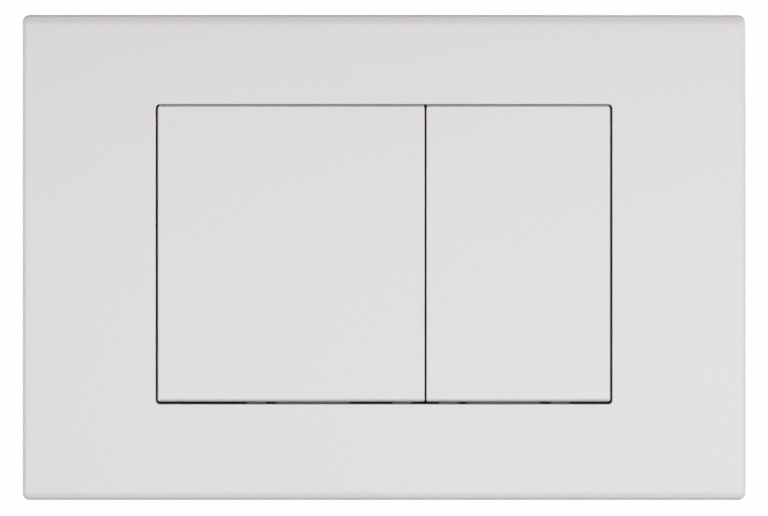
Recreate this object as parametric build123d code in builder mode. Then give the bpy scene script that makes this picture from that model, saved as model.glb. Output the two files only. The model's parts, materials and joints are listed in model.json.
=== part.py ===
from build123d import *
from math import cos, radians, sin, sqrt
import os

# Dual flush actuator plate for a cistern hidden in the wall: a white face plate with a full flush
# button and a half flush button, a stop bar in each button, the carrier tray that hinges them, two
# sprung plungers in guide towers with adjustable push rods, and the frame that fixes the plate to
# the wall.
#
# Millimetres. +X is to the right as seen from the room, +Z is up and +Y goes into the wall. The
# origin is the centre of the plate on the wall's surface. Depth is named as a stand-off from the
# wall: positive towards the room and negative inside the wall.

# Face plate
plate_width = 246.0
plate_height = 165.0
plate_depth = 12.0
plate_corner_radius = 2.4
plate_edge_radius = 1.3
top_roll_reach = 3.4
top_roll_drop = 0.66
bottom_roll_reach = 3.2
bottom_roll_drop = 0.4
face_wall = 2.6
rim_wall = 2.4
plate_rib_wall = 1.2
plate_rib_height = 2.6
plate_rib_pitch = 15.0

# Buttons and the opening that they fill
full_button_width = 90.8
half_button_width = 62.54
button_height = 100.65
side_gap = 0.68
middle_gap = 0.56
top_gap = 0.65
bottom_gap = 0.7
opening_rise = 1.1
opening_corner_radius = 1.4
opening_edge_radius = 0.25
collar_wall = 1.6
button_depth = 7.0
button_face_wall = 2.4
button_wall = 2.0
button_corner_radius = 0.9
button_edge_radius = 0.3
button_lip_height = 1.15
button_lip_depth = 1.8
button_rib_wall = 1.2
button_rib_height = 3.0
button_rib_pitch = 20.0

# Stop bar in each button, with the tongues that stop it at rest and when it is pressed
bar_height = 9.0
bar_fit_gap = 0.15
bar_rib_wall = 1.4
bar_rib_height = 1.6
notch_gap = 0.2
peg_radius = 1.5
peg_clearance = 0.05
peg_tail = 0.8
peg_inset = 9.0
tongue_thickness = 1.6
tongue_drop = 4.3
guide_tongue_width = 6.5
stop_tongue_width = 25.0
tongue_pitch = 19.4
inner_tongue_inset = 7.6
full_stop_inset = 38.0
half_stop_inset = 26.2
rest_buffer_thickness = 0.6
rest_buffer_height = 2.4
stop_buffer_thickness = 1.8
stop_gap = 0.1
stop_post_width = 18.0
stop_post_clearance = 1.6
stop_buffer_inset = 0.6

# Hinges along the top of the buttons
press_angle = 5.5
hinge_rise = 4.9
hinge_running_gap = 0.4
knuckle_radius = 2.8
knuckle_width = 8.0
knuckle_inset = 12.0
hinge_pin_radius = 1.25
hinge_pin_clearance = 0.06
pin_head_radius = 2.1
pin_head_thickness = 0.8
pin_tail = 0.8
ear_wall = 2.5
ear_side_gap = 0.3
flange_rise = 1.0
flange_inset = 1.5

# Carrier tray behind the buttons
tray_wall = 2.0
tray_fit_gap = 0.4
tray_head_room = 1.2
tray_foot_room = 1.6
tray_back_room = 3.9
tray_corner_radius = 3.0
tray_edge_radius = 1.5
tray_rib_wall = 1.4
tray_rib_height = 2.0
tray_rib_pitch = 34.0
tray_rib_margin = 3.0
lug_width = 7.5
lug_height = 11.0
lug_thickness = 3.0
lug_stand_off = 1.0
screw_spread = 43.0
screw_radius = 1.45
screw_clearance = 0.15
screw_length = 10.0
screw_head_radius = 2.8
screw_head_height = 1.9
screw_head_chamfer = 0.7
boss_radius = 3.2
pilot_clearance = 0.05
core_hole_height = 7.0

# Plungers, return springs and push rods
rod_spacing = 64.0
rod_drop = 4.0
pad_stand_off = 3.0
pad_radius = 7.0
plunger_gap = 0.3
plunger_head_radius = 8.0
plunger_dome_radius = 20.0
plunger_head_rim = 1.6
stem_radius = 5.0
stem_clearance = 0.08
stem_tail = 8.0
tower_length = 20.0
tower_wall = 2.2
tower_flange_width = 2.5
tower_flange_thickness = 1.5
tower_fit_clearance = 0.05
tower_slot_margin = 1.5
tower_bore_clearance = 0.7
tower_end_wall = 3.0
tower_slot_width = 6.0
spring_wire_radius = 0.6
spring_clearance = 0.8
spring_turns = 6.0
spring_end_gap = 0.05
clip_thickness = 0.8
clip_outer_radius = 8.0
clip_groove_depth = 0.7
clip_clearance = 0.05
clip_end_gap = 0.2
rod_radius = 3.0
rod_clearance = 0.05
rod_length = 66.0
rod_engagement = 24.0
rod_end_room = 2.0
rod_end_chamfer = 0.6
lock_nut_flats = 10.0
lock_nut_height = 5.0
tip_radius = 5.0
tip_length = 10.0
tip_end_wall = 2.0
tip_chamfer = 1.0

# Mounting frame and its fixings
frame_base = 2.0
frame_lip_height = 4.0
frame_lip_wall = 1.6
frame_fit_gap = 3.0
frame_corner_radius = 5.0
window_lug_gap = 1.27
window_hook_room = 3.5
frame_relief_margin = 4.5
frame_relief_start = 18.0
stud_radius = 3.0
stud_front_radius = 2.5
stud_clearance = 0.3
stud_slot_length = 14.0
stud_reach = 70.0
stud_tail = 0.6
stud_end_chamfer = 0.6
stud_shoulder_depth = 2.0
washer_radius = 5.0
washer_thickness = 1.0
fixing_nut_flats = 8.0
fixing_nut_height = 3.2

# Hooks that snap the face plate onto the mounting frame
hook_width = 10.0
hook_wall = 1.6
hook_gap = 0.5
hook_barb = 1.3
hook_catch_gap = 0.1
hook_catch_stand_off = 1.8
hook_tip_stand_off = 0.2
hook_spread = 55.0
hook_pocket_margin = 1.0

# Stand-offs of the main levels
face_back = plate_depth - face_wall
tongue_front = face_back - rest_buffer_thickness
tongue_back = tongue_front - tongue_thickness
hinge_stand_off = tongue_back - hinge_running_gap - knuckle_radius
button_back = plate_depth - button_depth
button_inner_face = plate_depth - button_face_wall

# Opening and buttons, as edges in X and Z
opening_width = full_button_width + half_button_width + middle_gap + 2 * side_gap
opening_height = button_height + top_gap + bottom_gap
opening_top = opening_rise + opening_height / 2
opening_bottom = opening_rise - opening_height / 2
button_top = opening_top - top_gap
button_bottom = opening_bottom + bottom_gap
button_middle = (button_top + button_bottom) / 2
full_left = -opening_width / 2 + side_gap
full_right = full_left + full_button_width
half_left = full_right + middle_gap
half_right = half_left + half_button_width
tongue_bottom = button_bottom - tongue_drop
bar_bottom = button_bottom + button_wall + bar_fit_gap
peg_height = bar_bottom + (bar_height - bar_rib_wall) / 2
hinge_height = button_top + hinge_rise
rod_height = -rod_drop


def pressed(stand_off, height):
    """Stand-off and height of a button's point once the button is pressed home."""
    turn = radians(press_angle)
    depth = hinge_stand_off - stand_off
    rise = height - hinge_height
    return (
        hinge_stand_off - depth * cos(turn) + rise * sin(turn),
        hinge_height + depth * sin(turn) + rise * cos(turn),
    )


def level(stand_off):
    """The plane parallel to the wall at this stand-off, facing the room."""
    return Plane.XZ.offset(stand_off)


# Carrier tray
tray_inner_width = opening_width + 2 * (collar_wall + tray_fit_gap)
tray_outer_width = tray_inner_width + 2 * tray_wall
tray_inner_top = hinge_height + knuckle_radius + tray_head_room
tray_inner_bottom = tongue_bottom - tray_foot_room
tray_inner_height = tray_inner_top - tray_inner_bottom
tray_outer_height = tray_inner_height + 2 * tray_wall
tray_middle = (tray_inner_top + tray_inner_bottom) / 2
tray_front = hinge_stand_off + knuckle_radius
tray_inner_back = pressed(button_back, button_bottom)[0] - tray_back_room
tray_outer_back = tray_inner_back - tray_wall
stop_buffer_front = pressed(tongue_back, tongue_bottom)[0] - stop_gap
stop_buffer_back = stop_buffer_front - stop_buffer_thickness
stop_post_top = button_bottom - stop_post_clearance
core_hole_top = tray_inner_top - tray_head_room
core_hole_bottom = core_hole_top - core_hole_height
screw_x = tray_outer_width / 2 + lug_width / 2
screw_places = [
    (side * screw_x, tray_middle + row * screw_spread) for side in (-1, 1) for row in (-1, 0, 1)
]

# Plungers and push rods
rod_places = [(-rod_spacing / 2, rod_height), (rod_spacing / 2, rod_height)]
plunger_tip = pad_stand_off - plunger_gap
dome_rise = plunger_dome_radius - sqrt(plunger_dome_radius**2 - plunger_head_radius**2)
plunger_head_back = plunger_tip - dome_rise - plunger_head_rim
tower_bore_radius = plunger_head_radius + tower_bore_clearance
tower_radius = tower_bore_radius + tower_wall
tower_back = tray_outer_back - tower_length
tower_seat = tower_back + tower_end_wall
stem_back = tower_back - stem_tail
clip_front = tower_back - clip_end_gap
rod_front = stem_back + rod_engagement
rod_back = rod_front - rod_length
tip_back = rod_back - tip_end_wall

# Mounting frame
frame_width = plate_width - 2 * (rim_wall + frame_fit_gap)
frame_height = plate_height - 2 * (rim_wall + frame_fit_gap)
window_width = tray_outer_width + 2 * (lug_width + window_lug_gap)
window_top = tray_middle + tray_outer_height / 2 + window_hook_room
window_bottom = tray_middle - tray_outer_height / 2 - window_hook_room
window_height = window_top - window_bottom
window_middle = (window_top + window_bottom) / 2
stud_x = (frame_width + window_width) / 4
stud_places = [(-stud_x, 0), (stud_x, 0)]
washer_front = frame_base + washer_thickness
fixing_nut_front = washer_front + fixing_nut_height
stud_front = fixing_nut_front + stud_tail


# Face plate: a rounded shell, open at the wall, with its top and bottom edges rolled back
with BuildPart() as face_plate:
    flat_top = plate_height / 2 - top_roll_reach
    flat_bottom = bottom_roll_reach - plate_height / 2
    top_front = plate_depth - top_roll_drop
    bottom_front = plate_depth - bottom_roll_drop
    with BuildSketch(Plane.YZ):
        with BuildLine():
            top_roll = TangentArc((-plate_depth, flat_top), (-top_front, plate_height / 2), tangent=(0, 1))
            low_roll = TangentArc(
                (-plate_depth, flat_bottom), (-bottom_front, -plate_height / 2), tangent=(0, -1)
            )
            Line(low_roll @ 0, top_roll @ 0)
            Polyline(top_roll @ 1, (0, plate_height / 2), (0, -plate_height / 2), low_roll @ 1)
        make_face()
    extrude(amount=plate_width / 2, both=True)
    fillet(face_plate.edges().filter_by(Axis.Y), plate_corner_radius)
    front_edges = face_plate.edges().filter_by(Axis.Y, reverse=True).filter_by(
        lambda edge: edge.center().Y < -top_front / 2
    )
    outline = front_edges.filter_by(
        lambda edge: abs(edge.center().X) > plate_width / 2 - plate_corner_radius
        or abs(edge.center().Z) > plate_height / 2 - plate_corner_radius
    )
    fillet(outline, plate_edge_radius)

    # Hollow back and the opening for the buttons
    inner_width = plate_width - 2 * rim_wall
    inner_height = plate_height - 2 * rim_wall
    with BuildSketch(level(0)):
        Rectangle(inner_width, inner_height)
    extrude(amount=face_back, mode=Mode.SUBTRACT)
    with BuildSketch(level(face_back)):
        with Locations((0, opening_rise)):
            RectangleRounded(opening_width, opening_height, opening_corner_radius)
    extrude(amount=face_wall, mode=Mode.SUBTRACT)
    flat_front = face_plate.faces().filter_by(Plane.XZ).sort_by(Axis.Y)[0]
    fillet(flat_front.inner_wires()[0].edges(), opening_edge_radius)

    # Stiffening ribs behind the four sides of the face
    with BuildSketch(level(face_back)):
        side_rib = (inner_width - window_width) / 2
        for row in range(1, int(inner_height / 2 / plate_rib_pitch) + 1):
            with GridLocations(window_width + side_rib, 2 * row * plate_rib_pitch, 2, 2):
                Rectangle(side_rib, plate_rib_wall)
        top_rib = inner_height / 2 - window_top - hook_barb
        low_rib = inner_height / 2 + window_bottom - hook_barb
        rib_columns = 2 * int(window_width / 2 / plate_rib_pitch) + 1
        with Locations((0, (inner_height - top_rib) / 2)):
            with GridLocations(plate_rib_pitch, 0, rib_columns, 1):
                Rectangle(plate_rib_wall, top_rib)
        with Locations((0, (low_rib - inner_height) / 2)):
            with GridLocations(plate_rib_pitch, 0, rib_columns, 1):
                Rectangle(plate_rib_wall, low_rib)
    extrude(amount=-plate_rib_height)

    # Collar beside the buttons, and the bosses for the carrier's screws
    with BuildSketch(level(button_back)):
        with Locations((0, opening_rise)):
            with GridLocations(opening_width + collar_wall, 0, 2, 1):
                Rectangle(collar_wall, opening_height - 2 * opening_corner_radius)
    extrude(amount=face_back - button_back)
    with BuildSketch(level(lug_stand_off)):
        with Locations(*screw_places):
            Circle(boss_radius)
    extrude(amount=face_back - lug_stand_off)
    with BuildSketch(level(lug_stand_off)):
        with Locations(*screw_places):
            Circle(screw_radius + pilot_clearance)
    extrude(amount=screw_length - lug_thickness + pilot_clearance, mode=Mode.SUBTRACT)

    # Snap hooks
    for side, window_edge in ((1, window_top), (-1, window_bottom)):
        inside = window_edge - side * (hook_gap + hook_wall)
        outside = window_edge - side * hook_gap
        barb = window_edge + side * hook_barb
        catch = hook_catch_stand_off - hook_catch_gap
        for x in (-hook_spread, hook_spread):
            with BuildSketch(Plane.YZ.offset(x)):
                Polygon(
                    (-face_back, inside),
                    (-hook_tip_stand_off, inside),
                    (-hook_tip_stand_off, outside),
                    (-catch, barb),
                    (-catch, outside),
                    (-face_back, outside),
                    align=None,
                )
            extrude(amount=hook_width / 2, both=True)
face_plate.part.label = "face_plate"


def flush_button(label, left, right, tongues, rod_x):
    """A hollow button with its hinge knuckles at the top and a seat for its stop bar at the bottom."""
    middle = (left + right) / 2
    width = right - left
    inner_width = width - 2 * button_wall
    inner_height = button_height - 2 * button_wall
    with BuildPart() as button:
        with BuildSketch(level(button_back)):
            with Locations((middle, button_middle)):
                RectangleRounded(width, button_height, button_corner_radius)
        extrude(amount=button_depth)
        fillet(button.faces().sort_by(Axis.Y)[0].edges(), button_edge_radius)

        # Rounded lower edge
        with BuildSketch(Plane.YZ.offset(middle)):
            with BuildLine():
                lip = EllipticalCenterArc(
                    (-plate_depth + button_lip_depth, button_bottom + button_lip_height),
                    button_lip_depth,
                    button_lip_height,
                    start_angle=180,
                    arc_size=90,
                )
                Polyline(lip @ 1, (-plate_depth, button_bottom), lip @ 0)
            make_face()
        extrude(amount=width / 2, both=True, mode=Mode.SUBTRACT)

        # Hollow back, stiffening ribs and the pad that meets the plunger
        with BuildSketch(level(button_back)):
            with Locations((middle, button_middle)):
                Rectangle(inner_width, inner_height)
        extrude(amount=button_depth - button_face_wall, mode=Mode.SUBTRACT)
        columns = round(inner_width / button_rib_pitch)
        rows = round(inner_height / button_rib_pitch)
        with BuildSketch(level(button_inner_face)):
            with Locations((middle, button_middle)):
                with GridLocations(inner_width / columns, 0, columns - 1, 1):
                    Rectangle(button_rib_wall, inner_height)
                with GridLocations(0, inner_height / rows, 1, rows - 1):
                    Rectangle(inner_width, button_rib_wall)
        extrude(amount=-button_rib_height)
        with BuildSketch(level(pad_stand_off)):
            with Locations((rod_x, rod_height)):
                Circle(pad_radius)
        extrude(amount=button_inner_face - pad_stand_off)

        # Seat of the stop bar, the notches that its tongues leave by, and the pegs that hold it
        with BuildSketch(level(button_back)):
            with Locations((middle, button_bottom + button_wall)):
                Rectangle(inner_width, bar_height + 2 * bar_fit_gap, align=(Align.CENTER, Align.MIN))
        extrude(amount=tongue_front - button_back, mode=Mode.SUBTRACT)
        with BuildSketch(level(button_back)):
            for x, tongue_width in tongues:
                with Locations((x, button_bottom)):
                    Rectangle(tongue_width + 2 * notch_gap, button_wall, align=(Align.CENTER, Align.MIN))
        extrude(amount=tongue_front + notch_gap - button_back, mode=Mode.SUBTRACT)
        with BuildSketch(level(tongue_back - peg_tail)):
            with Locations((left + peg_inset, peg_height), (right - peg_inset, peg_height)):
                Circle(peg_radius)
        extrude(amount=button_inner_face + peg_tail - tongue_back)

        # Top flange
        with BuildSketch(level(tongue_back)):
            flange_height = hinge_height + flange_rise - button_top + button_wall
            with Locations((middle, button_top - button_wall)):
                Rectangle(width - 2 * flange_inset, flange_height, align=(Align.CENTER, Align.MIN))
        extrude(amount=tongue_thickness)

        # Hinge knuckles
        for x in (left + knuckle_inset, right - knuckle_inset):
            with BuildSketch(Plane.YZ.offset(x)):
                with Locations((-hinge_stand_off, hinge_height)):
                    Circle(knuckle_radius)
                Polygon(
                    (-tongue_front, hinge_height - knuckle_radius),
                    (-hinge_stand_off, hinge_height - knuckle_radius),
                    (-hinge_stand_off, hinge_height + flange_rise),
                    (-tongue_front, hinge_height + flange_rise),
                    align=None,
                )
                with Locations((-hinge_stand_off, hinge_height)):
                    Circle(hinge_pin_radius + hinge_pin_clearance, mode=Mode.SUBTRACT)
            extrude(amount=knuckle_width / 2, both=True)
    button.part.label = label
    return button.part


def stop_bar(label, left, right, tongues):
    """The ribbed bar in the bottom of a button, with the tongues that reach behind the face plate."""
    middle = (left + right) / 2
    bar_width = right - left - 2 * (button_wall + bar_fit_gap)
    with BuildPart() as bar:
        with BuildSketch(level(tongue_back)):
            with Locations((middle, bar_bottom)):
                Rectangle(bar_width, bar_height, align=(Align.CENTER, Align.MIN))
            for x, tongue_width in tongues:
                with Locations((x, tongue_bottom)):
                    Rectangle(tongue_width, bar_bottom - tongue_bottom, align=(Align.CENTER, Align.MIN))
            with Locations((left + peg_inset, peg_height), (right - peg_inset, peg_height)):
                Circle(peg_radius + peg_clearance, mode=Mode.SUBTRACT)
        extrude(amount=tongue_thickness)
        with BuildSketch(level(tongue_back)):
            with Locations((middle, bar_bottom + bar_height)):
                Rectangle(bar_width, bar_rib_wall, align=(Align.CENTER, Align.MAX))
        extrude(amount=-bar_rib_height)
    bar.part.label = label
    return bar.part


full_stop_x = full_right - full_stop_inset
half_stop_x = half_left + half_stop_inset
full_tongues = [
    (full_right - inner_tongue_inset, guide_tongue_width),
    (full_stop_x, stop_tongue_width),
    (full_stop_x - tongue_pitch, guide_tongue_width),
]
half_tongues = [
    (half_left + inner_tongue_inset, guide_tongue_width),
    (half_stop_x, stop_tongue_width),
    (half_stop_x + tongue_pitch, guide_tongue_width),
]
full_flush_button = flush_button("full_flush_button", full_left, full_right, full_tongues, -rod_spacing / 2)
half_flush_button = flush_button("half_flush_button", half_left, half_right, half_tongues, rod_spacing / 2)

full_knuckles = [full_left + knuckle_inset, full_right - knuckle_inset]
half_knuckles = [half_left + knuckle_inset, half_right - knuckle_inset]
ear_offset = knuckle_width / 2 + ear_side_gap + ear_wall / 2
clevis_width = knuckle_width + 2 * (ear_side_gap + ear_wall)

# Carrier: a tray behind the buttons with hinge ears, stop posts and holes for the guide towers
with BuildPart() as button_carrier:
    with BuildSketch(level(tray_outer_back)):
        with Locations((0, tray_middle)):
            RectangleRounded(tray_outer_width, tray_outer_height, tray_corner_radius + tray_wall)
    extrude(amount=tray_front - tray_outer_back)
    fillet(button_carrier.faces().sort_by(Axis.Y)[-1].edges(), tray_edge_radius)
    with BuildSketch(level(tray_inner_back)):
        with Locations((0, tray_middle)):
            RectangleRounded(tray_inner_width, tray_inner_height, tray_corner_radius)
    extrude(amount=tray_front - tray_inner_back, mode=Mode.SUBTRACT)

    # Screw lugs
    with BuildSketch(level(lug_stand_off - lug_thickness)):
        for x, z in screw_places:
            reach = abs(x) - tray_outer_width / 2 + tray_wall / 2
            with Locations((x - (reach / 2 if x > 0 else -reach / 2), z)):
                Rectangle(reach, lug_height)
            with Locations((x, z)):
                RectangleRounded(lug_width, lug_height, lug_width / 2 - tray_wall / 2)
    extrude(amount=lug_thickness)
    with BuildSketch(level(lug_stand_off - lug_thickness)):
        with Locations(*screw_places):
            Circle(screw_radius + screw_clearance)
    extrude(amount=lug_thickness, mode=Mode.SUBTRACT)

    # Hinge ears under the top wall, and the openings behind them in the back
    for knuckle_x in full_knuckles + half_knuckles:
        for x in (knuckle_x - ear_offset, knuckle_x + ear_offset):
            with BuildSketch(Plane.YZ.offset(x)):
                with Locations((-hinge_stand_off, hinge_height)):
                    Circle(knuckle_radius)
                    Rectangle(
                        2 * knuckle_radius,
                        tray_inner_top + tray_wall / 2 - hinge_height,
                        align=(Align.CENTER, Align.MIN),
                    )
                    Circle(hinge_pin_radius + hinge_pin_clearance, mode=Mode.SUBTRACT)
            extrude(amount=ear_wall / 2, both=True)
    with BuildSketch(level(tray_outer_back)):
        for knuckle_x in full_knuckles + half_knuckles:
            with Locations((knuckle_x, core_hole_top)):
                Rectangle(clevis_width, core_hole_height, align=(Align.CENTER, Align.MAX))
    extrude(amount=tray_wall, mode=Mode.SUBTRACT)

    # Stop posts
    with BuildSketch(level(tray_inner_back)):
        post_height = stop_post_top - tray_inner_bottom
        with Locations((full_stop_x, tray_inner_bottom), (half_stop_x, tray_inner_bottom)):
            Rectangle(stop_post_width, post_height, align=(Align.CENTER, Align.MIN))
    extrude(amount=stop_buffer_back - tray_inner_back)

    # Ribs on the back below the hinge openings, and the holes for the guide towers
    with BuildSketch(level(tray_outer_back)):
        rib_top = core_hole_bottom - tray_rib_margin
        rib_bottom = tray_inner_bottom - tray_wall + tray_rib_margin
        with Locations((0, rib_bottom)):
            with GridLocations(rod_spacing / 2, 0, 5, 1):
                Rectangle(tray_rib_wall, rib_top - rib_bottom, align=(Align.CENTER, Align.MIN))
        with Locations((0, rod_height)):
            with GridLocations(0, tray_rib_pitch, 1, 3):
                Rectangle(tray_outer_width - 2 * tray_rib_margin, tray_rib_wall)
    extrude(amount=-tray_rib_height)
    with BuildSketch(level(tray_inner_back)):
        with Locations(*rod_places):
            Circle(tower_radius + tower_fit_clearance)
    extrude(amount=-tray_wall - tray_rib_height, mode=Mode.SUBTRACT)
button_carrier.part.label = "button_carrier"

# Self-tapping screws from the back of the carrier into the face plate's bosses
with BuildPart() as carrier_screws:
    with BuildSketch(level(lug_stand_off - lug_thickness)):
        with Locations(*screw_places):
            Circle(screw_radius)
    extrude(amount=screw_length)
    with BuildSketch(level(lug_stand_off - lug_thickness)):
        with Locations(*screw_places):
            Circle(screw_head_radius)
    extrude(amount=-screw_head_height)
    head_tops = carrier_screws.faces().filter_by(Plane.XZ).group_by(Axis.Y)[-1]
    chamfer(head_tops.edges(), screw_head_chamfer)
carrier_screws.part.label = "carrier_screws"


def hinge_pins(label, knuckles):
    """One headed pin for each of a button's knuckles."""
    with BuildPart() as pins:
        for x in knuckles:
            with BuildSketch(Plane.YZ.offset(x - clevis_width / 2)):
                with Locations((-hinge_stand_off, hinge_height)):
                    Circle(hinge_pin_radius)
            extrude(amount=clevis_width + pin_tail)
            with BuildSketch(Plane.YZ.offset(x - clevis_width / 2)):
                with Locations((-hinge_stand_off, hinge_height)):
                    Circle(pin_head_radius)
            extrude(amount=-pin_head_thickness)
    pins.part.label = label
    return pins.part


def guide_tower(label, x):
    """The slotted housing of a plunger and its spring, held in the carrier's back by its flange."""
    with BuildPart() as tower:
        with BuildSketch(level(tower_back)):
            with Locations((x, rod_height)):
                Circle(tower_radius)
        extrude(amount=tray_inner_back - tower_back)
        with BuildSketch(level(tray_inner_back)):
            with Locations((x, rod_height)):
                Circle(tower_radius + tower_flange_width)
        extrude(amount=tower_flange_thickness)
        with BuildSketch(level(tower_seat)):
            with Locations((x, rod_height)):
                Circle(tower_bore_radius)
        extrude(amount=tray_inner_back + tower_flange_thickness - tower_seat, mode=Mode.SUBTRACT)
        with BuildSketch(level(tower_back)):
            with Locations((x, rod_height)):
                Circle(stem_radius + stem_clearance)
        extrude(amount=tower_end_wall, mode=Mode.SUBTRACT)
        slot_back = tower_seat + tower_slot_margin
        slot_front = tray_outer_back - tray_rib_height - tower_slot_margin
        with BuildSketch(level(slot_back)):
            with Locations((x, rod_height)):
                for angle in (45, 135):
                    Rectangle(2 * (tower_radius + tower_wall), tower_slot_width, rotation=angle)
        extrude(amount=slot_front - slot_back, mode=Mode.SUBTRACT)
    tower.part.label = label
    return tower.part


def plunger(label, x):
    """A domed head on a guided stem, with a groove for its clip and a bore for its push rod."""
    bore_radius = rod_radius + rod_clearance
    bore_front = rod_front + rod_end_room
    groove_radius = stem_radius - clip_groove_depth
    groove_front = clip_front + clip_clearance
    groove_back = clip_front - clip_thickness - clip_clearance
    with BuildPart() as body:
        with BuildSketch(Plane.XY.offset(rod_height)):
            with BuildLine():
                dome = TangentArc(
                    (x, -plunger_tip),
                    (x + plunger_head_radius, dome_rise - plunger_tip),
                    tangent=(1, 0),
                )
                Polyline(
                    dome @ 1,
                    (x + plunger_head_radius, -plunger_head_back),
                    (x + stem_radius, -plunger_head_back),
                    (x + stem_radius, -groove_front),
                    (x + groove_radius, -groove_front),
                    (x + groove_radius, -groove_back),
                    (x + stem_radius, -groove_back),
                    (x + stem_radius, -stem_back),
                    (x + bore_radius, -stem_back),
                    (x + bore_radius, -bore_front),
                    (x, -bore_front),
                    dome @ 0,
                )
            make_face()
        revolve(axis=Axis((x, 0, rod_height), (0, 1, 0)))
    body.part.label = label
    return body.part


def return_spring(label, x):
    """A coil spring between the plunger's head and the end of its tower."""
    end_room = spring_wire_radius + spring_end_gap
    coil_length = plunger_head_back - tower_seat - 2 * end_room
    coil_radius = stem_radius + spring_clearance + spring_wire_radius
    with BuildPart() as spring:
        with BuildLine() as coil:
            Helix(
                pitch=coil_length / spring_turns,
                height=coil_length,
                radius=coil_radius,
                center=(x, end_room - plunger_head_back, rod_height),
                direction=(0, 1, 0),
            )
        with BuildSketch(Plane(origin=coil.line @ 0, z_dir=coil.line % 0)):
            RegularPolygon(spring_wire_radius, 6)
        sweep(path=coil.line, is_frenet=True)
    spring.part.label = label
    return spring.part


def retaining_clip(label, x):
    """An open ring in the stem's groove, which holds the plunger in its tower."""
    seat_radius = stem_radius - clip_groove_depth + clip_clearance
    with BuildPart() as clip:
        with BuildSketch(level(clip_front)):
            with Locations((x, rod_height)):
                Circle(clip_outer_radius)
                Circle(seat_radius, mode=Mode.SUBTRACT)
                Rectangle(
                    2 * seat_radius - clip_groove_depth,
                    clip_outer_radius,
                    align=(Align.CENTER, Align.MAX),
                    mode=Mode.SUBTRACT,
                )
        extrude(amount=-clip_thickness)
    clip.part.label = label
    return clip.part


def push_rod(label, x):
    """The threaded rod that reaches the cistern's flush valve."""
    with BuildPart() as rod:
        with BuildSketch(level(rod_front)):
            with Locations((x, rod_height)):
                Circle(rod_radius)
        extrude(amount=-rod_length)
        chamfer(rod.edges(), rod_end_chamfer)
    rod.part.label = label
    return rod.part


def hexagon_nuts(label, places, front, height, flats, bore_radius):
    """Hexagon nuts with their front faces at one stand-off."""
    with BuildPart() as nuts:
        with BuildSketch(level(front)):
            with Locations(*places):
                RegularPolygon(flats / 2, 6, major_radius=False)
                Circle(bore_radius, mode=Mode.SUBTRACT)
        extrude(amount=-height)
    nuts.part.label = label
    return nuts.part


def rod_tip(label, x):
    """The cap on the end of a push rod."""
    with BuildPart() as tip:
        with BuildSketch(level(tip_back)):
            with Locations((x, rod_height)):
                Circle(tip_radius)
        extrude(amount=tip_length)
        chamfer(tip.faces().sort_by(Axis.Y)[-1].edges(), tip_chamfer)
        with BuildSketch(level(rod_back)):
            with Locations((x, rod_height)):
                Circle(rod_radius + rod_clearance)
        extrude(amount=tip_length - tip_end_wall, mode=Mode.SUBTRACT)
    tip.part.label = label
    return tip.part


def tongue_pads(label, tongues, height, bottom, front, thickness):
    """Rubber pads, one for each tongue, with their front faces at one stand-off."""
    with BuildPart() as pads:
        with BuildSketch(level(front)):
            for x, pad_width in tongues:
                with Locations((x, bottom)):
                    Rectangle(pad_width, height, align=(Align.CENTER, Align.MIN))
        extrude(amount=-thickness)
    pads.part.label = label
    return pads.part


# Mounting frame: a lipped ring that the studs clamp to the wall
with BuildPart() as mounting_frame:
    with BuildSketch(level(0)):
        RectangleRounded(frame_width, frame_height, frame_corner_radius)
        with Locations((0, window_middle)):
            Rectangle(window_width, window_height, mode=Mode.SUBTRACT)
    extrude(amount=frame_base)
    with BuildSketch(level(0)):
        RectangleRounded(frame_width, frame_height, frame_corner_radius)
        RectangleRounded(
            frame_width - 2 * frame_lip_wall,
            frame_height - 2 * frame_lip_wall,
            frame_corner_radius - frame_lip_wall,
            mode=Mode.SUBTRACT,
        )
        with Locations((0, window_middle)):
            Rectangle(window_width + 2 * frame_lip_wall, window_height + 2 * frame_lip_wall)
            Rectangle(window_width, window_height, mode=Mode.SUBTRACT)
    extrude(amount=frame_lip_height)

    # Slots for the studs, and reliefs above and below them
    with BuildSketch(level(0)):
        with Locations(*stud_places):
            SlotOverall(stud_slot_length, 2 * (stud_front_radius + stud_clearance), rotation=90)
        relief_width = (frame_width - window_width) / 2 - 2 * frame_relief_margin
        relief_end = window_height / 2 - frame_relief_margin
        relief_height = relief_end - frame_relief_start
        with GridLocations((frame_width + window_width) / 2, frame_relief_start + relief_end, 2, 2):
            RectangleRounded(relief_width, relief_height, frame_lip_wall)
    extrude(amount=frame_base, mode=Mode.SUBTRACT)

    # Pockets that the hooks catch in
    with BuildSketch(level(0)):
        for side, window_edge in ((1, window_top), (-1, window_bottom)):
            with Locations((0, window_edge)):
                with GridLocations(2 * hook_spread, 0, 2, 1):
                    Rectangle(hook_width + 2 * hook_pocket_margin, 2 * (hook_barb + hook_pocket_margin))
    extrude(amount=hook_catch_stand_off, mode=Mode.SUBTRACT)
mounting_frame.part.label = "mounting_frame"

# Wall studs, thinner in front where the frame and its nut sit
with BuildPart() as fixing_studs:
    with BuildSketch(level(-stud_reach)):
        with Locations(*stud_places):
            Circle(stud_radius)
    extrude(amount=stud_reach - stud_shoulder_depth)
    chamfer(fixing_studs.edges(), stud_end_chamfer)
    with BuildSketch(level(-stud_shoulder_depth)):
        with Locations(*stud_places):
            Circle(stud_front_radius)
    extrude(amount=stud_shoulder_depth + stud_front)
fixing_studs.part.label = "fixing_studs"

with BuildPart() as fixing_washers:
    with BuildSketch(level(frame_base)):
        with Locations(*stud_places):
            Circle(washer_radius)
            Circle(stud_front_radius + stud_clearance, mode=Mode.SUBTRACT)
    extrude(amount=washer_thickness)
fixing_washers.part.label = "fixing_washers"

stop_pads = [(full_stop_x, stop_post_width), (half_stop_x, stop_post_width)]
full_x = -rod_spacing / 2
half_x = rod_spacing / 2
lock_bore = rod_radius + rod_clearance
fixing_bore = stud_front_radius + rod_clearance

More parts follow.
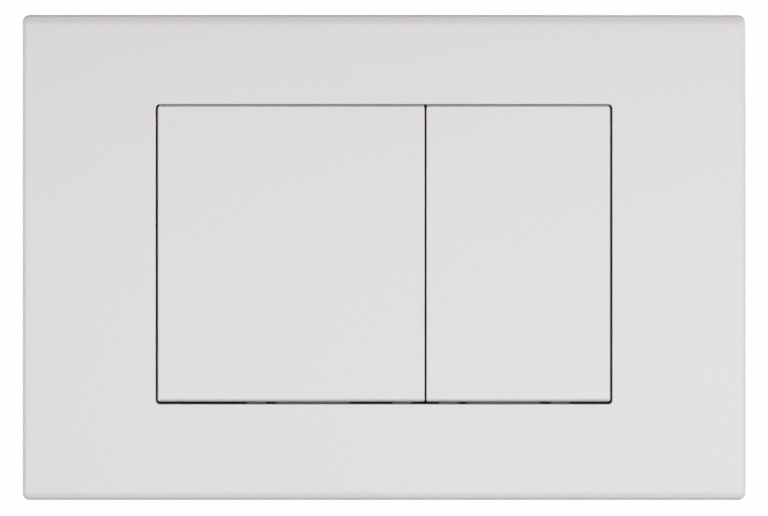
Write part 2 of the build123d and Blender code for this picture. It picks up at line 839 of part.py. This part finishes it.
pieces = [
    face_plate.part,
    full_flush_button,
    half_flush_button,
    stop_bar("full_stop_bar", full_left, full_right, full_tongues),
    stop_bar("half_stop_bar", half_left, half_right, half_tongues),
    button_carrier.part,
    carrier_screws.part,
    hinge_pins("full_hinge_pins", full_knuckles),
    hinge_pins("half_hinge_pins", half_knuckles),
    guide_tower("full_guide_tower", full_x),
    guide_tower("half_guide_tower", half_x),
    plunger("full_plunger", full_x),
    plunger("half_plunger", half_x),
    return_spring("full_return_spring", full_x),
    return_spring("half_return_spring", half_x),
    retaining_clip("full_retaining_clip", full_x),
    retaining_clip("half_retaining_clip", half_x),
    push_rod("full_push_rod", full_x),
    push_rod("half_push_rod", half_x),
    hexagon_nuts("full_lock_nut", rod_places[:1], stem_back, lock_nut_height, lock_nut_flats, lock_bore),
    hexagon_nuts("half_lock_nut", rod_places[1:], stem_back, lock_nut_height, lock_nut_flats, lock_bore),
    rod_tip("full_rod_tip", full_x),
    rod_tip("half_rod_tip", half_x),
    tongue_pads(
        "rest_buffers",
        full_tongues + half_tongues,
        rest_buffer_height,
        tongue_bottom,
        face_back,
        rest_buffer_thickness,
    ),
    tongue_pads(
        "stop_buffers",
        stop_pads,
        stop_post_top - tray_inner_bottom - stop_buffer_inset,
        tray_inner_bottom + stop_buffer_inset,
        stop_buffer_front,
        stop_buffer_thickness,
    ),
    mounting_frame.part,
    fixing_studs.part,
    fixing_washers.part,
    hexagon_nuts(
        "fixing_nuts",
        stud_places,
        fixing_nut_front,
        fixing_nut_height,
        fixing_nut_flats,
        fixing_bore,
    ),
]

os.makedirs("parts", exist_ok=True)
for piece in pieces:
    export_step(piece, f"parts/{piece.label}.step")
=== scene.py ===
import json
import math

import bmesh
import bpy
from mathutils import Matrix, Vector


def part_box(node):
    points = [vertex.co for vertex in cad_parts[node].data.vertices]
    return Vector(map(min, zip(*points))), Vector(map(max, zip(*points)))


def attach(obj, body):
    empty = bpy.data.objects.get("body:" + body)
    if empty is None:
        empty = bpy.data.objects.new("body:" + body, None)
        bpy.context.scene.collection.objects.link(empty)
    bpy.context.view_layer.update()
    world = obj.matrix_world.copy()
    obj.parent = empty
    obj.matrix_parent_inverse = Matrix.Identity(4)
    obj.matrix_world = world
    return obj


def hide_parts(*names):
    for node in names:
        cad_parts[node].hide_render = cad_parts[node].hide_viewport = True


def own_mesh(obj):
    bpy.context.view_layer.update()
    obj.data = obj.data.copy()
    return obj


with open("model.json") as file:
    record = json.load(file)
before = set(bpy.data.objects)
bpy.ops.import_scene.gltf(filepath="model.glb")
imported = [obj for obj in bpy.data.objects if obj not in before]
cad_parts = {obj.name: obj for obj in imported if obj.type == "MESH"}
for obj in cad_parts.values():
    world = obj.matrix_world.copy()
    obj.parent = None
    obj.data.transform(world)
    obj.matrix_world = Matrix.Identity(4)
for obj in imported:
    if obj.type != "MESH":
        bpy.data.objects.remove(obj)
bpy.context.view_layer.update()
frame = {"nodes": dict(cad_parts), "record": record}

MM = 0.001
nodes = frame["nodes"]

# Screw threads: outer radius, pitch, depth and radius of the chamfered end
ROD_THREAD = (3.0 * MM, 1.0 * MM, 0.61 * MM, 2.38 * MM)
STUD_FRONT_THREAD = (2.5 * MM, 0.8 * MM, 0.49 * MM, 2.0 * MM)
SCREW_THREAD = (1.45 * MM, 1.3 * MM, 0.42 * MM, 0.5 * MM)


# Mesh helpers. The long pieces all lie along Y, so shapes are made around a line (x, z).

def new_piece(name, bm, body, material, replaces=()):
    """Turns a bmesh into a smooth shaded piece that rides on a body."""
    bmesh.ops.recalc_face_normals(bm, faces=bm.faces)
    mesh = bpy.data.meshes.new(name)
    bm.to_mesh(mesh)
    bm.free()
    obj = bpy.data.objects.new(name, mesh)
    bpy.context.scene.collection.objects.link(obj)
    mesh.materials.append(material)
    shade(obj)
    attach(obj, body)
    if replaces:
        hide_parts(*replaces)
    return obj


def shade(obj, angle=35):
    """Smooth shading with edges sharper than the angle kept crisp."""
    mesh = obj.data
    limit = math.radians(angle)
    bm = bmesh.new()
    bm.from_mesh(mesh)
    for face in bm.faces:
        face.smooth = True
    for edge in bm.edges:
        edge.smooth = len(edge.link_faces) == 2 and edge.calc_face_angle(0) < limit
    bm.to_mesh(mesh)
    bm.free()


def ring(bm, centre, y, radius, count, turn=0.0):
    x, z = centre
    return [
        bm.verts.new((
            x + radius * math.cos(turn + math.tau * i / count),
            y,
            z + radius * math.sin(turn + math.tau * i / count),
        ))
        for i in range(count)
    ]


def bridge(bm, first, second):
    count = len(first)
    for i in range(count):
        k = (i + 1) % count
        bm.faces.new((first[i], first[k], second[k], second[i]))


def lathe(bm, centre, profile, count=48):
    """A closed turned shape from a profile of (y, radius) points, in metres."""
    rings = [ring(bm, centre, y, radius, count) for y, radius in profile]
    for first, second in zip(rings, rings[1:] + rings[:1]):
        bridge(bm, first, second)


def thread(bm, centre, front, back, radius, pitch, depth, end_radius, count=32):
    """A screw thread between two Y values, with chamfered ends and closed caps."""
    x, z = centre
    root = radius - depth
    # Crest and root, each between two shares of the pitch
    profile = ((0.0, radius), (0.125, radius), (0.4375, root), (0.6875, root))
    turns = int((back - front) / pitch) + 3
    rows = []
    for turn in range(-1, turns):
        for share, wanted in profile:
            row = []
            for i in range(count):
                y = front + (turn + share + i / count) * pitch
                y = min(max(y, front), back)
                limit = end_radius + min(y - front, back - y)
                r = min(wanted, limit)
                angle = math.tau * i / count
                row.append(bm.verts.new((x + r * math.cos(angle), y, z + r * math.sin(angle))))
            rows.append(row)
    step = len(profile)
    for k in range(len(rows) - 1):
        for i in range(count - 1):
            bm.faces.new((rows[k][i], rows[k][i + 1], rows[k + 1][i + 1], rows[k + 1][i]))
        if k + step + 1 < len(rows):
            bm.faces.new((rows[k][-1], rows[k + step][0], rows[k + step + 1][0], rows[k + 1][-1]))
    bmesh.ops.remove_doubles(bm, verts=bm.verts, dist=1e-7)
    bmesh.ops.dissolve_degenerate(bm, edges=bm.edges, dist=1e-8)
    loose = [v for v in bm.verts if not v.link_faces]
    bmesh.ops.delete(bm, geom=loose, context="VERTS")
    open_edges = [e for e in bm.edges if e.is_boundary]
    bmesh.ops.holes_fill(bm, edges=open_edges, sides=0)


def add(bm, other):
    """Adds one bmesh to another."""
    mesh = bpy.data.meshes.new("joined")
    other.to_mesh(mesh)
    other.free()
    bm.from_mesh(mesh)
    bpy.data.meshes.remove(mesh)


# Materials

def principled(name, colour, roughness, metallic=0.0):
    material = bpy.data.materials.new(name)
    material.use_nodes = True
    shader = material.node_tree.nodes["Principled BSDF"]
    shader.inputs["Base Color"].default_value = (*colour, 1.0)
    shader.inputs["Roughness"].default_value = roughness
    shader.inputs["Metallic"].default_value = metallic
    return material, material.node_tree, shader


def noise(tree, scale, detail=2.0, stretch=(1, 1, 1)):
    """Noise in the object's own metres, so that its grain keeps its real size."""
    place = tree.nodes.new("ShaderNodeTexCoord")
    mapping = tree.nodes.new("ShaderNodeMapping")
    mapping.inputs["Scale"].default_value = stretch
    tree.links.new(place.outputs["Object"], mapping.inputs["Vector"])
    texture = tree.nodes.new("ShaderNodeTexNoise")
    texture.inputs["Scale"].default_value = scale
    texture.inputs["Detail"].default_value = detail
    tree.links.new(mapping.outputs["Vector"], texture.inputs["Vector"])
    return texture.outputs["Fac"]


def vary_colour(tree, shader, factor, low, high):
    ramp = tree.nodes.new("ShaderNodeValToRGB")
    ramp.color_ramp.elements[0].position = 0.3
    ramp.color_ramp.elements[1].position = 0.7
    ramp.color_ramp.elements[0].color = (*low, 1.0)
    ramp.color_ramp.elements[1].color = (*high, 1.0)
    tree.links.new(factor, ramp.inputs["Fac"])
    tree.links.new(ramp.outputs["Color"], shader.inputs["Base Color"])


def paint_recess_shade(tree, shader, depth, tone):
    """Paints shade into the colour: darkens it towards a tone in gaps narrower than the depth, where
    little light gets in.
    """
    colour = shader.inputs["Base Color"].links[0].from_socket
    recess_occlusion = tree.nodes.new("ShaderNodeAmbientOcclusion")
    recess_occlusion.samples = 8
    recess_occlusion.inputs["Distance"].default_value = depth
    ramp = tree.nodes.new("ShaderNodeValToRGB")
    ramp.color_ramp.elements[0].position = 0.2
    ramp.color_ramp.elements[1].position = 0.8
    ramp.color_ramp.elements[0].color = (tone, tone, tone, 1.0)
    ramp.color_ramp.elements[1].color = (1.0, 1.0, 1.0, 1.0)
    shaded_colour = tree.nodes.new("ShaderNodeVectorMath")
    shaded_colour.operation = "MULTIPLY"
    tree.links.new(recess_occlusion.outputs["AO"], ramp.inputs["Fac"])
    tree.links.new(colour, shaded_colour.inputs[0])
    tree.links.new(ramp.outputs["Color"], shaded_colour.inputs[1])
    tree.links.new(shaded_colour.outputs["Vector"], shader.inputs["Base Color"])


def vary_roughness(tree, shader, factor, low, high):
    span = tree.nodes.new("ShaderNodeMapRange")
    span.inputs["From Min"].default_value = 0.3
    span.inputs["From Max"].default_value = 0.7
    span.inputs["To Min"].default_value = low
    span.inputs["To Max"].default_value = high
    tree.links.new(factor, span.inputs["Value"])
    tree.links.new(span.outputs["Result"], shader.inputs["Roughness"])


def grain(tree, shader, factor, strength, distance, edge):
    """A fine skin texture, on edges that catch light as if rounded by a small radius."""
    soft_edge = tree.nodes.new("ShaderNodeBevel")
    soft_edge.samples = 6
    soft_edge.inputs["Radius"].default_value = edge
    bump = tree.nodes.new("ShaderNodeBump")
    tree.links.new(soft_edge.outputs["Normal"], bump.inputs["Normal"])
    bump.inputs["Strength"].default_value = strength
    bump.inputs["Distance"].default_value = distance
    tree.links.new(factor, bump.inputs["Height"])
    tree.links.new(bump.outputs["Normal"], shader.inputs["Normal"])


def plastic(name, low, high, rough_low, rough_high, cloud, speck, strength, edge=0.25 * MM, shine=0.5,
            recess_shade_tone=None):
    """Moulded plastic: faint clouds in its colour and gloss, a fine skin texture, and painted shade in
    narrow gaps when a shade tone is given.
    """
    skin_depth = 0.05 * MM
    recess_depth = 1.2 * MM
    material, tree, shader = principled(name, high, rough_high)
    shader.inputs["Specular IOR Level"].default_value = shine
    clouds = noise(tree, cloud, 3.0)
    vary_colour(tree, shader, clouds, low, high)
    # Painted shade: the colour darkens in gaps and recesses where little light gets in
    if recess_shade_tone:
        paint_recess_shade(tree, shader, recess_depth, recess_shade_tone)
    vary_roughness(tree, shader, clouds, rough_low, rough_high)
    grain(tree, shader, noise(tree, speck, 2.0), strength, skin_depth, edge)
    return material


def metal(name, low, high, rough_low, rough_high, cloud, stretch, strength):
    """Plain or plated steel: flecks in its colour and gloss, which a drawn bar has as long streaks."""
    skin_depth = 0.03 * MM
    edge = 0.12 * MM
    material, tree, shader = principled(name, high, rough_high, 1.0)
    streaks = noise(tree, cloud, 4.0, stretch)
    vary_colour(tree, shader, streaks, low, high)
    vary_roughness(tree, shader, streaks, rough_low, rough_high)
    grain(tree, shader, streaks, strength, skin_depth, edge)
    return material


# Each look: darker and lighter colour, lowest and highest roughness, then how fine the clouds are.
# Plastics go on with how fine the skin texture is, metals with how the flecks are stretched, and
# both end with the strength of the texture.
looks = {
    # The white plastic's last setting paints shade into its colour in narrow gaps
    "white_plastic": plastic(
        "white_abs", (0.797, 0.767, 0.797), (0.803, 0.773, 0.803), 0.27, 0.29, 1800, 900, 0.01,
        edge=0.1 * MM, shine=0.3, recess_shade_tone=0.3),
    "dark_plastic": plastic(
        "dark_abs", (0.018, 0.018, 0.019), (0.026, 0.026, 0.028), 0.50, 0.57, 420, 3200, 0.30),
    "grey_plastic": plastic(
        "grey_pp", (0.315, 0.325, 0.345), (0.335, 0.345, 0.365), 0.45, 0.52, 420, 2600, 0.25),
    "slate_plastic": plastic(
        "slate_pp", (0.09, 0.09, 0.094), (0.105, 0.105, 0.11), 0.45, 0.55, 420, 2600, 0.25),
    "natural_plastic": plastic(
        "natural_pom", (0.70, 0.68, 0.61), (0.76, 0.74, 0.68), 0.28, 0.38, 200, 1800, 0.08),
    "blue_plastic": plastic(
        "blue_pa", (0.015, 0.075, 0.26), (0.022, 0.095, 0.31), 0.38, 0.50, 240, 2600, 0.20),
    "rubber": plastic(
        "black_rubber", (0.016, 0.016, 0.016), (0.028, 0.028, 0.028), 0.72, 0.88, 500, 3500, 0.45),
    "zinc_steel": metal(
        "zinc_plate", (0.44, 0.45, 0.46), (0.58, 0.58, 0.565), 0.28, 0.42, 420, (1, 1, 1), 0.10),
    "bright_steel": metal(
        "bright_steel", (0.66, 0.66, 0.67), (0.78, 0.78, 0.79), 0.12, 0.22, 600, (0.08, 1, 1), 0.06),
    "spring_steel": metal(
        "spring_wire", (0.40, 0.40, 0.41), (0.55, 0.55, 0.56), 0.20, 0.34, 700, (1, 1, 1), 0.08),
}

for part in frame["record"]["subparts"]:
    obj = nodes[part["node"]]
    obj.data.materials.clear()
    obj.data.materials.append(looks[part["material_slot"]])


# Threaded push rods, one in each plunger

for side in ("full", "half"):
    low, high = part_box(side + "_push_rod")
    line = ((low.x + high.x) / 2, (low.z + high.z) / 2)
    bm = bmesh.new()
    thread(bm, line, low.y, high.y, *ROD_THREAD)
    new_piece(side + "_threaded_rod", bm, side + "_rod", looks["zinc_steel"],
              [side + "_push_rod"])


# Wall studs: a coarse thread for the wall and a finer one in front for the nut

low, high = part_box("fixing_studs")
bm = bmesh.new()
stud_x = high.x - ROD_THREAD[0]
shoulder = 2.0 * MM
for x in (-stud_x, stud_x):
    stud = bmesh.new()
    thread(stud, (x, 0), shoulder, high.y, *ROD_THREAD)
    add(bm, stud)
    front = bmesh.new()
    thread(front, (x, 0), low.y, shoulder, *STUD_FRONT_THREAD)
    add(bm, front)
new_piece("wall_studs", bm, "plate", looks["zinc_steel"], ["fixing_studs"])


# Hexagon nuts with chamfered corners

def nut(bm, centre, front, back, flats, thread_radius, count=60):
    x, z = centre
    bore = thread_radius + 0.02 * MM
    mouth = 0.4 * MM
    edge = 0.475 * flats
    slope = math.tan(math.radians(30))
    sides = []
    for i in range(count):
        angle = math.tau * i / count
        corner = (angle + math.pi / 6) % (math.pi / 3) - math.pi / 6
        radius = flats / 2 / math.cos(corner)
        drop = max(0.0, radius - edge) * slope
        px = x + radius * math.cos(angle)
        pz = z + radius * math.sin(angle)
        sides.append((bm.verts.new((px, front + drop, pz)), bm.verts.new((px, back - drop, pz))))
    front_side = [pair[0] for pair in sides]
    back_side = [pair[1] for pair in sides]
    loops = [
        ring(bm, centre, front + mouth, bore, count),
        ring(bm, centre, front, bore + mouth, count),
        ring(bm, centre, front, edge, count),
        front_side,
        back_side,
        ring(bm, centre, back, edge, count),
        ring(bm, centre, back, bore + mouth, count),
        ring(bm, centre, back - mouth, bore, count),
    ]
    for first, second in zip(loops, loops[1:] + loops[:1]):
        bridge(bm, first, second)


for side in ("full", "half"):
    low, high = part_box(side + "_lock_nut")
    bm = bmesh.new()
    line = ((low.x + high.x) / 2, (low.z + high.z) / 2)
    nut(bm, line, low.y, high.y, high.z - low.z, ROD_THREAD[0])
    new_piece(side + "_locking_nut", bm, side + "_rod", looks["zinc_steel"],
              [side + "_lock_nut"])

low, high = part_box("fixing_nuts")
bm = bmesh.new()
for x in (-stud_x, stud_x):
    nut(bm, (x, 0), low.y, high.y, high.z - low.z, STUD_FRONT_THREAD[0])
new_piece("stud_nuts", bm, "plate", looks["zinc_steel"], ["fixing_nuts"])


# Washers with the soft edges of stamped ones

low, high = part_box("fixing_washers")
bm = bmesh.new()
soft = 0.15 * MM
outer = high.x - stud_x
inner = 2.8 * MM
for x in (-stud_x, stud_x):
    lathe(bm, (x, 0), [
        (low.y, inner + soft), (low.y, outer - soft), (low.y + soft, outer),
        (high.y - soft, outer), (high.y, outer - soft), (high.y, inner + soft),
        (high.y - soft, inner), (low.y + soft, inner),
    ])
new_piece("stud_washers", bm, "plate", looks["zinc_steel"], ["fixing_washers"])


# Return springs of round wire with closed ends

def spring(name, side):
    low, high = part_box(side + "_return_spring")
    x = (low.x + high.x) / 2
    z = (low.z + high.z) / 2
    wire = 0.6 * MM
    coil = 6.4 * MM
    turns = 6.0
    closed = 0.8
    steps = 288
    around = 10
    front = low.y + wire
    length = high.y - low.y - 2 * wire
    end_rise = closed * 2 * wire
    bm = bmesh.new()
    rows = []
    for i in range(steps + 1):
        turn = turns * i / steps
        if turn < closed:
            rise = 2 * wire * turn
        elif turn > turns - closed:
            rise = length - 2 * wire * (turns - turn)
        else:
            rise = end_rise + (length - 2 * end_rise) * (turn - closed) / (turns - 2 * closed)
        angle = math.tau * turn
        out = Vector((math.cos(angle), 0, math.sin(angle)))
        middle = Vector((x, front + rise, z)) + out * coil
        rows.append([
            bm.verts.new(middle + out * (wire * math.cos(math.tau * k / around))
                         + Vector((0, wire * math.sin(math.tau * k / around), 0)))
            for k in range(around)
        ])
    for first, second in zip(rows, rows[1:]):
        bridge(bm, first, second)
    bm.faces.new(rows[0])
    bm.faces.new(rows[-1])
    obj = new_piece(name, bm, "plate", looks["spring_steel"],
                    [side + "_return_spring"])
    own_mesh(obj)


spring("full_coil_spring", "full")
spring("half_coil_spring", "half")


# Self-tapping screws with pan heads and cross recesses

def cross_cutter(depth, wing, width):
    """A tapered cross that points along -Y from the origin."""
    overshoot = 0.5 * MM
    wing_taper = 0.45
    width_taper = 0.7
    bm = bmesh.new()
    for quarter in (0, 1):
        part = bmesh.new()
        bmesh.ops.create_cube(part, size=1.0)
        for v in part.verts:
            deep = v.co.y < 0
            v.co = Vector((
                v.co.x * 2 * wing * (wing_taper if deep else 1.0),
                -depth if deep else overshoot,
                v.co.z * width * (width_taper if deep else 1.0),
            ))
        bmesh.ops.rotate(part, verts=part.verts, cent=(0, 0, 0),
                         matrix=Matrix.Rotation(quarter * math.pi / 2, 3, "Y"))
        add(bm, part)
    return bm


def cut(bm, cutter_bm):
    """Cuts one bmesh out of another and gives the result."""
    objects = []
    for shape in (bm, cutter_bm):
        bmesh.ops.recalc_face_normals(shape, faces=shape.faces)
        mesh = bpy.data.meshes.new("cut")
        shape.to_mesh(mesh)
        shape.free()
        obj = bpy.data.objects.new("cut", mesh)
        bpy.context.scene.collection.objects.link(obj)
        objects.append(obj)
    body, cutter = objects
    boolean = body.modifiers.new("recess", "BOOLEAN")
    boolean.operation = "DIFFERENCE"
    boolean.solver = "EXACT"
    boolean.use_self = True
    boolean.object = cutter
    done = bpy.data.meshes.new_from_object(body.evaluated_get(bpy.context.evaluated_depsgraph_get()))
    result = bmesh.new()
    result.from_mesh(done)
    for obj in objects:
        mesh = obj.data
        bpy.data.objects.remove(obj)
        bpy.data.meshes.remove(mesh)
    bpy.data.meshes.remove(done)
    return result


low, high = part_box("carrier_screws")
head = 2.8 * MM
head_height = 1.9 * MM
rim_height = 0.6 * MM
rim_edge = 0.1 * MM
dome_width = 1.4 * MM
axis_radius = 0.0004 * MM
seat = high.y - head_height
head_bm = bmesh.new()
profile = [(seat, axis_radius), (seat, head - rim_edge), (seat + rim_edge, head)]
for i in range(9):
    angle = math.radians(90 * i / 8)
    profile.append((seat + rim_height + (head_height - rim_height) * math.sin(angle),
                    head - dome_width * (1 - math.cos(angle))))
profile.append((high.y, axis_radius))
lathe(head_bm, (0, 0), profile, count=40)
cutter = cross_cutter(depth=1.35 * MM, wing=1.55 * MM, width=0.62 * MM)
bmesh.ops.translate(cutter, verts=cutter.verts, vec=(0, high.y, 0))
head_bm = cut(head_bm, cutter)
shank = bmesh.new()
thread(shank, (0, 0), low.y, seat, *SCREW_THREAD, count=20)
add(head_bm, shank)
bm = bmesh.new()
screw_x = high.x - head
for x in (-screw_x, screw_x):
    for k, z in enumerate((low.z + head, (low.z + high.z) / 2, high.z - head)):
        one = head_bm.copy()
        # Each screw was driven home at its own turn
        turn = 0.4 + 0.9 * k + (0.5 if x > 0 else 0.0)
        bmesh.ops.rotate(one, verts=one.verts, cent=(0, 0, 0),
                         matrix=Matrix.Rotation(turn, 3, "Y"))
        bmesh.ops.translate(one, verts=one.verts, vec=(x, 0, z))
        add(bm, one)
head_bm.free()
new_piece("pan_head_screws", bm, "plate", looks["zinc_steel"], ["carrier_screws"])


# Ends of the buttons' top flanges, which close the top gap up to the buttons' corners

def flange_end(bm, start, tip, front, back, bottom, top):
    """A short stretch of flange that runs along X and has a rounded tip."""
    soft = 0.2 * MM
    out = math.copysign(soft, tip - start)
    quarter = [math.radians(90 * i / 4) for i in range(5)]
    profile = [(start, front)]
    profile += [(tip - out + out * math.sin(a), front + soft - soft * math.cos(a)) for a in quarter]
    profile += [(tip - out + out * math.cos(a), back - soft + soft * math.sin(a)) for a in quarter]
    profile += [(start, back)]
    below = [bm.verts.new((x, y, bottom)) for x, y in profile]
    above = [bm.verts.new((x, y, top)) for x, y in profile]
    bridge(bm, below, above)
    bm.faces.new(below)
    bm.faces.new(above)


flange_inset = 1.5 * MM
tip_inset = 0.2 * MM
flange_front = -8.8 * MM
flange_back = -7.2 * MM
flange_top = 1.8 * MM
flange_height = 6.4 * MM
for side in ("full", "half"):
    low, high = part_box(side + "_flush_button")
    bm = bmesh.new()
    for edge, inward in ((low.x, 1), (high.x, -1)):
        flange_end(bm, edge + inward * flange_inset, edge + inward * tip_inset,
                   flange_front, flange_back, high.z - flange_top - flange_height, high.z - flange_top)
    new_piece(side + "_flange_ends", bm, side + "_button", looks["white_plastic"])


# Light: a backdrop that is white behind the plate and pale elsewhere, in a dim room

scene = bpy.context.scene
scene.view_settings.view_transform = "Standard"
scene.view_settings.look = "None"

world = bpy.data.worlds.new("studio")
world.use_nodes = True
scene.world = world
tree = world.node_tree
background = tree.nodes["Background"]
background.inputs["Color"].default_value = (1.0, 0.992, 1.0, 1.0)
direction = tree.nodes.new("ShaderNodeTexCoord")
split = tree.nodes.new("ShaderNodeSeparateXYZ")
tree.links.new(direction.outputs["Generated"], split.inputs["Vector"])


def fade(axis, start, end, low, high):
    """A smooth change from a low to a high value along one axis of the direction."""
    span = tree.nodes.new("ShaderNodeMapRange")
    span.interpolation_type = "SMOOTHSTEP"
    span.inputs["From Min"].default_value = start
    span.inputs["From Max"].default_value = end
    span.inputs["To Min"].default_value = low
    span.inputs["To Max"].default_value = high
    tree.links.new(split.outputs[axis], span.inputs["Value"])
    return span


pale = 0.585
room = fade("Y", -0.50, 0.10, 0.02, 0.15)
above_floor = fade("Z", -0.10, -0.0735, pale, 1.0)
ahead = fade("Y", 0.86, 0.988, pale, 1.0)
seen = tree.nodes.new("ShaderNodeLightPath")
backdrop = tree.nodes.new("ShaderNodeMapRange")
tree.links.new(above_floor.outputs["Result"], ahead.inputs["To Max"])
tree.links.new(seen.outputs["Is Camera Ray"], backdrop.inputs["Value"])
tree.links.new(room.outputs["Result"], backdrop.inputs["To Min"])
tree.links.new(ahead.outputs["Result"], backdrop.inputs["To Max"])
tree.links.new(backdrop.outputs["Result"], background.inputs["Strength"])


def soft_light(name, place, target, size, power):
    data = bpy.data.lights.new(name, "AREA")
    data.shape = "RECTANGLE"
    data.size, data.size_y = size
    data.energy = power
    obj = bpy.data.objects.new(name, data)
    obj.location = place
    obj.rotation_euler = (Vector(target) - Vector(place)).to_track_quat("-Z", "Y").to_euler()
    scene.collection.objects.link(obj)


soft_light("front_panel", (0.22, -2.0, -0.105), (0.22, 0, -0.105), (1.6, 0.75), 28.8)
soft_light("left_edge", (-1.45, -0.39, 0), (0, 0, 0), (0.6, 0.5), 5.0)
soft_light("right_edge", (1.45, -0.39, 0), (0, 0, 0), (0.6, 0.5), 7.0)
soft_light("rear_key", (0.7, 1.4, 0.6), (0, 0.03, 0), (1.2, 0.9), 20.0)
soft_light("rear_fill", (-1.2, 1.4, 0.1), (0, 0.03, 0), (1.0, 1.0), 9.0)


# Floor: its own faint glow keeps it pale from all sides, and it throws no soft light on the plate

reach = 20.0
level = -2.0
floor_mesh = bpy.data.meshes.new("floor")
floor_mesh.from_pydata(
    [(-reach, -reach, level), (reach, -reach, level), (reach, reach, level), (-reach, reach, level)],
    [], [(0, 1, 2, 3)])
floor = bpy.data.objects.new("floor", floor_mesh)
scene.collection.objects.link(floor)
floor_look, floor_tree, floor_shader = principled("pale_floor", (0.40, 0.40, 0.40), 0.7)
vary_colour(floor_tree, floor_shader, noise(floor_tree, 30, 2.0),
            (0.39, 0.39, 0.39), (0.41, 0.41, 0.41))
floor_shader.inputs["Emission Color"].default_value = (1.0, 1.0, 1.0, 1.0)
floor_shader.inputs["Emission Strength"].default_value = 0.525
floor_mesh.materials.append(floor_look)
floor.visible_diffuse = False


# Camera straight in front, at the height of the plate

camera_data = bpy.data.cameras.new("camera")
camera_data.sensor_width = 36.0
camera_data.lens = 165.4
camera_data.clip_end = 50.0
camera = bpy.data.objects.new("camera", camera_data)
camera.location = (0.0, -1.212, -0.0002)
camera.rotation_euler = (math.pi / 2, 0, 0)
scene.collection.objects.link(camera)
scene.camera = camera
